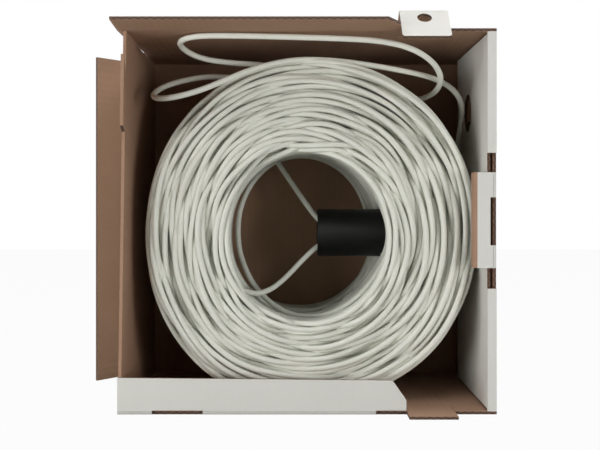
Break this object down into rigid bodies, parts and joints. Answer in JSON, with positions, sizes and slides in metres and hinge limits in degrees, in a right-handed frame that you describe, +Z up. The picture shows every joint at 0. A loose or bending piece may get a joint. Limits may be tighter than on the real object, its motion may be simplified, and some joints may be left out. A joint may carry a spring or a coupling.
{
  "type": "cable spool box",
  "caption": "Open corrugated pull box holding a wound coil of network cable, with a pay-out tube through its side and hinged closing flaps.",
  "frame": {"origin": "middle of the carton's footprint, on the face that it stands on", "axes": "+Z up, the open mouth faces -Y, +X is the pay-out tube's side"},
  "size_m": [0.397, 0.2406, 0.3622],
  "materials": {
    "kraft_board": "matte corrugated board, brown kraft inner liner, white outer liner",
    "white_board": "matte corrugated board seen from its white outer liner",
    "black_plastic": "satin black moulded plastic",
    "cable_jacket": "light grey soft vinyl cable jacket, slight sheen"
  },
  "bodies": {
    "carton": {"rear_panel": "kraft_board", "top_wall": "kraft_board", "bottom_wall": "kraft_board", "left_wall": "kraft_board", "right_outer_wall": "kraft_board", "right_inner_panel": "white_board", "right_band_upper": "white_board", "right_band_lower": "white_board", "right_ear_upper": "kraft_board", "right_ear_lower": "kraft_board", "payout_tube": "black_plastic", "cable_coil": "cable_jacket", "top_loop": "cable_jacket", "top_tail": "cable_jacket", "upper_lead": "cable_jacket", "lower_lead": "cable_jacket"},
    "top_flap": {"top_dust_flap": "kraft_board"},
    "bottom_flap": {"bottom_dust_flap": "white_board"},
    "bottom_tab": {"bottom_tuck_tab": "kraft_board"},
    "latch_arm": {"top_latch_arm": "kraft_board"},
    "latch_lip": {"top_latch_lip": "white_board"},
    "lock_tab": {"right_lock_tab": "white_board", "lock_tab_tongue": "kraft_board"},
    "side_tab": {"left_front_tab": "kraft_board"},
    "side_flap": {"rear_side_flap": "kraft_board"}
  },
  "joints": [
    {"name": "top_dust_flap_hinge", "type": "hinge", "parent": "carton", "child": "top_flap", "pos_m": [0, -0.10435, 0.3437], "axis": [1, 0, 0], "range_deg": [-3, 95]},
    {"name": "bottom_dust_flap_hinge", "type": "hinge", "parent": "carton", "child": "bottom_flap", "pos_m": [0, -0.10135, 0.0027], "axis": [1, 0, 0], "range_deg": [0, 90]},
    {"name": "bottom_tab_hinge", "type": "hinge", "parent": "carton", "child": "bottom_tab", "pos_m": [0, -0.07535, 0.0027], "axis": [-1, 0, 0], "range_deg": [0, 85]},
    {"name": "top_latch_hinge", "type": "hinge", "parent": "carton", "child": "latch_arm", "pos_m": [0, -0.07535, 0.3464], "axis": [-1, 0, 0], "range_deg": [-38, 90]},
    {"name": "latch_lip_hinge", "type": "hinge", "parent": "latch_arm", "child": "latch_lip", "pos_m": [0, -0.0975, 0.36028], "axis": [1, 0, 0], "range_deg": [-83, 7]},
    {"name": "lock_tab_hinge", "type": "hinge", "parent": "carton", "child": "lock_tab", "pos_m": [0.1673, -0.09865, 0.17], "axis": [0, 0, 1], "range_deg": [0, 95]},
    {"name": "side_tab_hinge", "type": "hinge", "parent": "carton", "child": "side_tab", "pos_m": [-0.1673, -0.10135, 0.0027], "axis": [0.0147, 0, 0.9999], "range_deg": [-6, 82]},
    {"name": "rear_side_flap_hinge", "type": "hinge", "parent": "carton", "child": "side_flap", "pos_m": [-0.1703, 0.09865, 0.17], "axis": [0, 0, 1], "range_deg": [-50, 38]}
  ]
}
